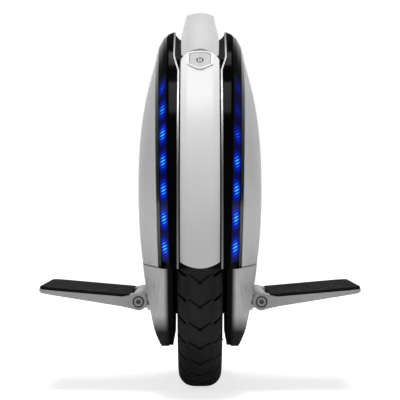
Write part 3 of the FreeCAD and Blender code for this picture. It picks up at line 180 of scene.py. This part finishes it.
def uneven_gloss(tree, shader, where, scale, rough):
    """Roughness that drifts between two values."""
    tree.links.new(spread(tree, noise(tree, where, scale), *rough), shader.inputs["Roughness"])


def roughen(tree, shader, height, strength, distance):
    """Fine relief from a height pattern."""
    relief = tree.nodes.new("ShaderNodeBump")
    relief.inputs["Strength"].default_value = strength
    relief.inputs["Distance"].default_value = distance
    tree.links.new(height, relief.inputs["Height"])
    tree.links.new(relief.outputs["Normal"], shader.inputs["Normal"])


def surface(name, dark, light, rough, drift=12.0, grain=1800.0, relief=0.08, depth=0.0002,
            metallic=0.0, coat=0.0, gloss=0.5, stretch=(1.0, 1.0, 1.0)):
    """Surface whose tone drifts slightly, with uneven gloss and a fine grain."""
    material, tree, shader = new_material(name)
    where = place(tree, stretch)
    broad = noise(tree, where, drift)
    fine = noise(tree, where, grain, 2.0)
    paint(tree, shader, broad, [(0.3, dark), (0.7, light)])
    uneven_gloss(tree, shader, where, drift * 7.0, rough)
    shader.inputs["Metallic"].default_value = metallic
    shader.inputs["Coat Weight"].default_value = coat
    shader.inputs["Specular IOR Level"].default_value = gloss
    roughen(tree, shader, fine, relief, depth)
    return material


def grey(value):
    """Grey with a trace of blue."""
    return (value, value, value * 1.01)


# Materials

def spot_over_chip(tree, along, across, tight_along, tight_across):
    """Soft oval spot centred over each chip, smaller where it is tighter."""
    lengthwise = calculate(tree, "POWER", calculate(tree, "MULTIPLY", along, tight_along), 2.0)
    crosswise = calculate(tree, "POWER", calculate(tree, "MULTIPLY", across, tight_across), 2.0)
    reach = calculate(tree, "ADD", lengthwise, crosswise)
    return calculate(tree, "EXPONENT", calculate(tree, "MULTIPLY", reach, -1.0))


def place_on_strip(tree, axes):
    """Where a point lies between two chips, and across the light strip."""
    side = calculate(tree, "ABSOLUTE", axes["X"])
    front = calculate(tree, "ABSOLUTE", axes["Y"])
    height = calculate(tree, "SUBTRACT", axes["Z"], RING_CENTRE_Z)
    angle = calculate(tree, "ARCTAN2", height, front)
    steps = calculate(tree, "DIVIDE", calculate(tree, "SUBTRACT", angle, LIGHT_FIRST), LIGHT_STEP)
    along = calculate(tree, "WRAP", steps, 0.5, -0.5)
    lean = calculate(tree, "MULTIPLY", height, RING_LEAN)
    offset = calculate(tree, "SUBTRACT", calculate(tree, "SUBTRACT", side, LIGHT_MIDDLE_X), lean)
    return along, calculate(tree, "DIVIDE", offset, LIGHT_HALF_WIDTH), height


def lens_glow(tree, dim_from, dim_to, dim_level):
    """Strength of the light seen through the lens: a wide glow and a core split by slanted prisms."""
    source = tree.nodes.new("ShaderNodeTexCoord")
    axes = split(tree, source.outputs["Object"])
    along, across, height = place_on_strip(tree, axes)
    glow = spot_over_chip(tree, along, across, 2.6, 0.85)
    core = spot_over_chip(tree, along, across, 4.0, 1.3)
    sideways = calculate(tree, "MULTIPLY", axes["X"], PRISM_SLOPE)
    slant = calculate(tree, "SUBTRACT", calculate(tree, "MULTIPLY", height, PRISM_PITCH), sideways)
    stripes = spread(tree, calculate(tree, "SINE", slant), 0.0, 1.0, -0.3, 0.7)
    striped_core = calculate(tree, "MULTIPLY", core, stripes)
    wide_glow = calculate(tree, "MULTIPLY", glow, GLOW_SHARE)
    mixed = calculate(tree, "MULTIPLY_ADD", striped_core, CORE_SHARE, wide_glow)
    dim = spread(tree, axes["Z"], 1.0, dim_level, dim_from, dim_to)
    return calculate(tree, "MULTIPLY", mixed, dim)


def make_lens(name, dim_from, dim_to, dim_level):
    """Smoky lens with fine slanted prisms over the lit chips, dimmer towards its top."""
    material, tree, shader = new_material(name)
    glow = lens_glow(tree, dim_from, dim_to, dim_level)
    colour = ramp(tree, glow, [(0.0, LENS_UNLIT), (0.09, LENS_FAINT), (0.24, LENS_DEEP),
                               (0.45, LENS_BLUE), (0.66, LENS_BRIGHT), (0.95, LENS_MIDDLE)])
    tree.links.new(colour, shader.inputs["Emission Color"])
    shader.inputs["Emission Strength"].default_value = 1.0
    shader.inputs["Specular IOR Level"].default_value = 0.04
    where = place(tree)
    smoke = noise(tree, where, 40.0)
    paint(tree, shader, smoke, [(0.3, (0.001, 0.001, 0.004)), (0.7, (0.002, 0.002, 0.008))])
    uneven_gloss(tree, shader, where, 90.0, (0.08, 0.14))
    roughen(tree, shader, noise(tree, where, 1500.0), 0.03, 0.0001)
    return material


def make_hanger_metal():
    """Silver casting with painted shade towards its inner edge and its downward-facing lower tip, and a
    painted shadow line under the seam on top.
    """
    material, tree, shader = new_material("hanger_metal_painted_shade_look")
    where = place(tree)
    axes = split(tree, where)
    side = calculate(tree, "ABSOLUTE", axes["X"])
    # Painted shade: the silver is darkened towards the inner edge and the lower tip, and a painted shadow
    # runs along the seam on top.
    inner_painted_shade = spread(tree, side, HANGER_PAINTED_SHADE_LEVEL, 1.0, HANGER_INNER_SHADE_X, HANGER_INNER_SILVER_X)
    tip_painted_shade = spread(tree, axes["Z"], HANGER_PAINTED_SHADE_LEVEL, 1.0, HANGER_TIP_SHADE_Z, HANGER_TIP_SILVER_Z)
    seam_painted_shadow = spread(tree, axes["Z"], 1.0, HANGER_SEAM_SHADOW_LEVEL, HANGER_SEAM_SILVER_Z, HANGER_SEAM_SHADOW_Z)
    painted_shade_mask = calculate(tree, "MULTIPLY", calculate(tree, "MULTIPLY", inner_painted_shade, tip_painted_shade), seam_painted_shadow)
    tone = spread(tree, noise(tree, where, 26.0, 4.0), 0.66, 0.76)
    shade = calculate(tree, "MULTIPLY", tone, painted_shade_mask)
    paint(tree, shader, shade, [(0.0, (0.003, 0.003, 0.003)), (1.0, (1.0, 1.0, 1.01))])
    uneven_gloss(tree, shader, where, 150.0, (0.34, 0.44))
    shader.inputs["Specular IOR Level"].default_value = 0.2
    roughen(tree, shader, noise(tree, where, 2600.0, 2.0), 0.07, 0.0002)
    return material


def make_pin_steel():
    """Turned steel: pale rings round the pin's middle, with a ring of painted shade near the rim where the
    recess round the screw head lies.
    """
    material, tree, shader = new_material("hinge_pin_painted_shade_look")
    where = place(tree)
    axes = split(tree, where)
    side = calculate(tree, "ABSOLUTE", axes["X"])
    out = calculate(tree, "POWER", calculate(tree, "SUBTRACT", side, PIN_X), 2.0)
    up = calculate(tree, "POWER", calculate(tree, "SUBTRACT", axes["Z"], PIN_Z), 2.0)
    distance = calculate(tree, "SQRT", calculate(tree, "ADD", out, up))
    share = calculate(tree, "DIVIDE", distance, PIN_HEAD_RADIUS)
    patchy = calculate(tree, "ADD", share, spread(tree, noise(tree, where, 300.0), -0.02, 0.02))
    # The dark stops near the rim are painted shade in the recess round the screw head.
    paint(tree, shader, patchy, [(0.4, grey(0.2)), (0.52, grey(0.4)), (0.72, grey(0.44)),
                                 (0.8, grey(0.02)), (0.9, grey(0.02)), (0.97, grey(0.2))])
    uneven_gloss(tree, shader, where, 150.0, (0.4, 0.55))
    shader.inputs["Specular IOR Level"].default_value = 0.2
    roughen(tree, shader, noise(tree, where, 1800.0, 2.0), 0.08, 0.0002)
    return material


def make_tyre_rubber():
    """Dark rubber, paler along the middle of the tread, with a fine moulded texture."""
    material, tree, shader = new_material("tyre_rubber_look")
    where = place(tree)
    fine = noise(tree, where, 900.0, 3.0)
    side = calculate(tree, "ABSOLUTE", split(tree, where)["X"])
    paler_middle = spread(tree, side, 0.4, 0.0, PALE_BAND_INNER_X, PALE_BAND_OUTER_X)
    patchy = calculate(tree, "ADD", spread(tree, noise(tree, where, 22.0, 6.0), 0.0, 0.6), paler_middle)
    paint(tree, shader, patchy, [(0.0, (0.007, 0.007, 0.007)), (1.0, (0.024, 0.024, 0.024))])
    uneven_gloss(tree, shader, where, 160.0, (0.5, 0.7))
    shader.inputs["Specular IOR Level"].default_value = 0.2
    roughen(tree, shader, fine, 0.25, 0.0004)
    return material


def make_circuit_board():
    """Green board with copper tracks under the varnish."""
    material, tree, shader = new_material("circuit_board_look")
    where = place(tree)
    tracks = tree.nodes.new("ShaderNodeTexBrick")
    tracks.inputs["Scale"].default_value = 160.0
    tracks.inputs["Mortar Size"].default_value = 0.035
    tracks.inputs["Color1"].default_value = (0.012, 0.09, 0.03, 1.0)
    tracks.inputs["Color2"].default_value = (0.016, 0.12, 0.04, 1.0)
    tracks.inputs["Mortar"].default_value = (0.05, 0.2, 0.07, 1.0)
    tree.links.new(where, tracks.inputs["Vector"])
    tree.links.new(tracks.outputs["Color"], shader.inputs["Base Color"])
    uneven_gloss(tree, shader, where, 120.0, (0.25, 0.4))
    roughen(tree, shader, tracks.outputs["Fac"], 0.2, 0.0002)
    return material


def make_striped(name, dark, light, spacing, rough):
    """Metal with fine parallel lines across X, as on wound wire or stacked sheets."""
    material, tree, shader = new_material(name)
    where = place(tree)
    lines = tree.nodes.new("ShaderNodeTexWave")
    lines.bands_direction = "X"
    lines.inputs["Scale"].default_value = spacing
    lines.inputs["Distortion"].default_value = 0.6
    tree.links.new(where, lines.inputs["Vector"])
    paint(tree, shader, lines.outputs["Fac"], [(0.1, dark), (0.9, light)])
    uneven_gloss(tree, shader, where, 90.0, rough)
    shader.inputs["Metallic"].default_value = 0.9
    roughen(tree, shader, lines.outputs["Fac"], 0.3, 0.0003)
    return material


def grey_surface(name, dark, light, rough, **options):
    """Grey surface named after its slot."""
    return surface(name + "_look", grey(dark), grey(light), rough, **options)


def make_outer_looks():
    """Looks of the pieces that show from outside."""
    looks = {}
    looks["white_shell"] = grey_surface("white_shell", 0.78, 0.82, (0.3, 0.38), relief=0.04, gloss=0.2)
    looks["handle_grey"] = grey_surface("handle_grey", 0.55, 0.59, (0.42, 0.52), gloss=0.3)
    looks["button_face"] = grey_surface("button_face", 0.45, 0.49, (0.35, 0.45), relief=0.05, gloss=0.3)
    looks["black_gloss"] = grey_surface("black_gloss", 0.001, 0.002, (0.08, 0.13), relief=0.02, gloss=0.02)
    looks["black_plastic"] = grey_surface("black_plastic", 0.002, 0.004, (0.4, 0.55), relief=0.15, gloss=0.05)
    looks["silver_trim"] = grey_surface("silver_trim", 0.26, 0.31, (0.44, 0.52), metallic=1.0, relief=0.03)
    looks["light_chip"] = surface("light_chip_look", (0.5, 0.62, 0.75), (0.6, 0.72, 0.85), (0.2, 0.3))
    looks["hanger_metal"] = make_hanger_metal()
    looks["pedal_metal"] = grey_surface("pedal_metal", 0.44, 0.5, (0.4, 0.5), metallic=0.2,
                                        grain=2200.0, relief=0.12)
    looks["pad_rubber"] = grey_surface("pad_rubber", 0.006, 0.012, (0.55, 0.75), grain=1100.0,
                                       relief=0.5, depth=0.0006, gloss=0.02)
    looks["screw_steel"] = grey_surface("screw_steel", 0.14, 0.2, (0.28, 0.4), metallic=1.0)
    looks["tyre_rubber"] = make_tyre_rubber()
    return looks


def make_inner_looks():
    """Looks of the pieces inside the wheel and the shell."""
    looks = {}
    looks["black_part"] = grey_surface("black_part", 0.02, 0.035, (0.4, 0.55), relief=0.12)
    looks["steel"] = grey_surface("steel", 0.48, 0.56, (0.2, 0.32), metallic=1.0, grain=900.0,
                                  stretch=(12.0, 1.0, 1.0))
    looks["rim_metal"] = grey_surface("rim_metal", 0.02, 0.03, (0.35, 0.45), metallic=0.3, relief=0.12)
    looks["motor_metal"] = grey_surface("motor_metal", 0.02, 0.032, (0.36, 0.48), metallic=0.3, relief=0.15)
    looks["hub_metal"] = grey_surface("hub_metal", 0.5, 0.58, (0.35, 0.5), metallic=1.0, relief=0.15)
    looks["magnet"] = grey_surface("magnet", 0.55, 0.62, (0.15, 0.25), metallic=1.0)
    looks["tube_rubber"] = grey_surface("tube_rubber", 0.02, 0.035, (0.6, 0.75), relief=0.2)
    looks["cable_sleeve"] = grey_surface("cable_sleeve", 0.01, 0.02, (0.45, 0.6), relief=0.2)
    looks["seal_rubber"] = surface("seal_rubber_look", (0.05, 0.018, 0.012), (0.075, 0.03, 0.02),
                                   (0.5, 0.65))
    looks["cell_wrap"] = surface("cell_wrap_look", (0.03, 0.16, 0.34), (0.045, 0.2, 0.4),
                                 (0.25, 0.35), coat=0.2)
    looks["copper_wire"] = make_striped("copper_wire_look", (0.2, 0.07, 0.03), (0.62, 0.28, 0.12),
                                        260.0, (0.25, 0.4))
    looks["core_steel"] = make_striped("core_steel_look", grey(0.16), grey(0.36), 300.0, (0.35, 0.5))
    looks["circuit_board"] = make_circuit_board()
    return looks


def dress(frame, looks):
    """Give every piece the look of its slot, or its own; the two light strips dim at different heights."""
    left_lens = make_lens("left_lens_look", LEFT_DIM_FROM_Z, LEFT_DIM_TO_Z, LEFT_DIM_LEVEL)
    right_lens = make_lens("right_lens_look", RIGHT_DIM_FROM_Z, RIGHT_DIM_TO_Z, RIGHT_DIM_LEVEL)
    own = {"left_light_lenses": left_lens,
           "right_light_lenses": right_lens,
           "button_bezel": looks["white_shell"],
           "hinge_pins": make_pin_steel()}
    for part in frame["record"]["subparts"]:
        name = part["node"]
        look = own.get(name) or looks[part["material_slot"]]
        piece = frame["nodes"][name]
        piece.data.materials.clear()
        piece.data.materials.append(look)


# Pieces

def mesh_piece(name, corners, faces, look):
    """New object from corners and faces."""
    mesh = bpy.data.meshes.new(name)
    mesh.from_pydata([tuple(corner) for corner in corners], [], faces)
    mesh.update()
    piece = bpy.data.objects.new(name, mesh)
    bpy.context.scene.collection.objects.link(piece)
    mesh.materials.append(look)
    return piece


def ribbon(path, half_width, low, high):
    """Flat raised line along a path of (x, y) points: corners and faces of a bar with sloped sides."""
    profile = ((-1.0, low), (-0.75, high), (0.75, high), (1.0, low))
    width = len(profile)
    corners = []
    faces = []
    for index, point in enumerate(path):
        before = path[max(index - 1, 0)]
        after = path[min(index + 1, len(path) - 1)]
        along = (Vector(after) - Vector(before)).normalized()
        sideways = Vector((-along.y, along.x))
        for share, height in profile:
            spot = Vector(point) + sideways * half_width * share
            corners.append((spot.x, spot.y, height))
    for index in range(len(path) - 1):
        for first in range(width * index, width * index + width - 1):
            faces.append((first, first + width, first + width + 1, first + 1))
    last = width * (len(path) - 1)
    faces.append((0, 1, 2, 3))
    faces.append((last + 3, last + 2, last + 1, last))
    return corners, faces


def symbol_paths():
    """Broken ring and upright stroke, as paths on the button's face."""
    ring_steps = 40
    stroke_points = 9
    tall = SYMBOL_RADIUS * SYMBOL_UPRIGHT
    ring = []
    for index in range(ring_steps + 1):
        sweep = 2 * math.pi - 2 * SYMBOL_OPENING
        turn = math.pi / 2 + SYMBOL_OPENING + sweep * index / ring_steps
        ring.append((SYMBOL_RADIUS * math.cos(turn), tall * math.sin(turn)))
    stroke = [(0.0, tall * (STROKE_START + STROKE_STEP * index)) for index in range(stroke_points)]
    return ring, stroke


def make_power_symbol(look):
    """Power symbol raised a little on the button's face, moving with the button."""
    corners = []
    faces = []
    for path in symbol_paths():
        more, joined = ribbon(path, SYMBOL_HALF_WIDTH, SYMBOL_SUNK, SYMBOL_RAISED)
        start = len(corners)
        corners += more
        faces += [tuple(start + corner for corner in face) for face in joined]
    piece = mesh_piece("power_symbol", corners, faces, look)
    rise = Vector((0.0, -math.cos(BUTTON_ANGLE), math.sin(BUTTON_ANGLE))) * BUTTON_FACE_RADIUS
    piece.matrix_world = (Matrix.Translation(rise + Vector((0.0, 0.0, RING_CENTRE_Z)))
                          @ Matrix.Rotation(math.pi / 2 - BUTTON_ANGLE, 4, "X"))
    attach(piece, "button")


# Stage

def seen_directly(tree):
    """Two switches: one for rays from the camera, one for mirror-like and see-through rays."""
    rays = tree.nodes.new("ShaderNodeLightPath").outputs
    shiny = calculate(tree, "MAXIMUM", rays["Is Glossy Ray"], rays["Is Transmission Ray"])
    return rays["Is Camera Ray"], shiny


def make_floor():
    """Wide pale floor that keeps the shadow: white in view, and behind the object in reflections."""
    material, tree, shader = new_material("floor_look")
    where = place(tree)
    paint(tree, shader, noise(tree, where, 3.0), [(0.3, grey(0.78)), (0.7, grey(0.82))])
    uneven_gloss(tree, shader, where, 40.0, (0.7, 0.85))
    distance = tree.nodes.new("ShaderNodeVectorMath")
    distance.operation = "LENGTH"
    tree.links.new(where, distance.inputs[0])
    white = spread(tree, distance.outputs["Value"], FLOOR_NEAR_WHITE, 1.0, 0.3, 1.2)
    camera_ray, shiny_ray = seen_directly(tree)
    shader.inputs["Emission Color"].default_value = WHITE
    behind = spread(tree, split(tree, where)["Y"], 0.0, 1.0, 1.0, 3.0)
    mirrored = calculate(tree, "MULTIPLY", shiny_ray, behind)
    seen = calculate(tree, "MULTIPLY", calculate(tree, "MAXIMUM", camera_ray, mirrored), white)
    tree.links.new(seen, shader.inputs["Emission Strength"])
    corners = [(-FLOOR_HALF, -FLOOR_HALF, 0.0), (FLOOR_HALF, -FLOOR_HALF, 0.0),
               (FLOOR_HALF, FLOOR_HALF, 0.0), (-FLOOR_HALF, FLOOR_HALF, 0.0)]
    floor = mesh_piece("floor", corners, [(0, 1, 2, 3)], material)


def make_world():
    """Even room light, with plain white all round in view and behind the object in reflections."""
    world = bpy.data.worlds.new("studio")
    bpy.context.scene.world = world
    world.use_nodes = True
    tree = world.node_tree
    room = tree.nodes["Background"]
    room.inputs["Color"].default_value = WHITE
    room.inputs["Strength"].default_value = ROOM_LIGHT
    white = tree.nodes.new("ShaderNodeBackground")
    white.inputs["Color"].default_value = WHITE
    white.inputs["Strength"].default_value = 1.0
    source = tree.nodes.new("ShaderNodeTexCoord")
    behind = spread(tree, split(tree, source.outputs["Generated"])["Y"], 0.0, 1.0, 0.85, 0.98)
    camera_ray, shiny_ray = seen_directly(tree)
    share = calculate(tree, "MAXIMUM", camera_ray, calculate(tree, "MULTIPLY", shiny_ray, behind))
    pick = tree.nodes.new("ShaderNodeMixShader")
    tree.links.new(share, pick.inputs[0])
    tree.links.new(room.outputs[0], pick.inputs[1])
    tree.links.new(white.outputs[0], pick.inputs[2])
    tree.links.new(pick.outputs[0], tree.nodes["World Output"].inputs["Surface"])


def make_lamp(name, where, size, power):
    """Soft rectangular lamp aimed at the middle of the object."""
    data = bpy.data.lights.new(name, "AREA")
    data.shape = "RECTANGLE"
    data.size, data.size_y = size
    data.energy = power
    lamp = bpy.data.objects.new(name, data)
    bpy.context.scene.collection.objects.link(lamp)
    lamp.location = where
    lamp.rotation_euler = (Vector(LAMP_TARGET) - Vector(where)).to_track_quat("-Z", "Y").to_euler()


def make_lamps():
    """Two lamps overhead and one at each side in front."""
    make_lamp("top_lamp", where=(0.0, 0.5, 2.2), size=(0.9, 0.5), power=9.0)
    make_lamp("front_lamp", where=(0.0, -0.75, 2.3), size=(1.0, 0.9), power=35.0)
    make_lamp("left_lamp", where=(-2.2, -1.6, 1.4), size=(0.9, 0.9), power=7.0)
    make_lamp("right_lamp", where=(2.2, -1.6, 1.4), size=(0.9, 0.9), power=6.0)


def make_camera():
    """Level camera straight in front, at the photo's distance and scale."""
    data = bpy.data.cameras.new("photo_camera")
    data.sensor_width = SENSOR_MM
    data.lens = SENSOR_MM * FOCAL_PIXELS / PHOTO_SIDE_PIXELS
    camera = bpy.data.objects.new("photo_camera", data)
    bpy.context.scene.collection.objects.link(camera)
    camera.location = (0.0, -CAMERA_DISTANCE, CAMERA_HEIGHT)
    camera.rotation_euler = (math.pi / 2, 0.0, 0.0)
    bpy.context.scene.camera = camera


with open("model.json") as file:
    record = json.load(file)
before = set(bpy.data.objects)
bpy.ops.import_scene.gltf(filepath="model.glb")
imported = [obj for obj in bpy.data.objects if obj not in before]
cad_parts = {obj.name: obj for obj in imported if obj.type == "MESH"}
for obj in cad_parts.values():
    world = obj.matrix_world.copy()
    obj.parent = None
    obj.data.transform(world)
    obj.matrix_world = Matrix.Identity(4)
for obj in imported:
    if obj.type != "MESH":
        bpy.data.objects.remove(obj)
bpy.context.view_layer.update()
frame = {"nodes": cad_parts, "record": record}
looks = {**make_outer_looks(), **make_inner_looks()}
dress(frame, looks)
make_power_symbol(looks["black_plastic"])
make_floor()
make_world()
make_lamps()
make_camera()
bpy.context.scene.view_settings.view_transform = "Standard"
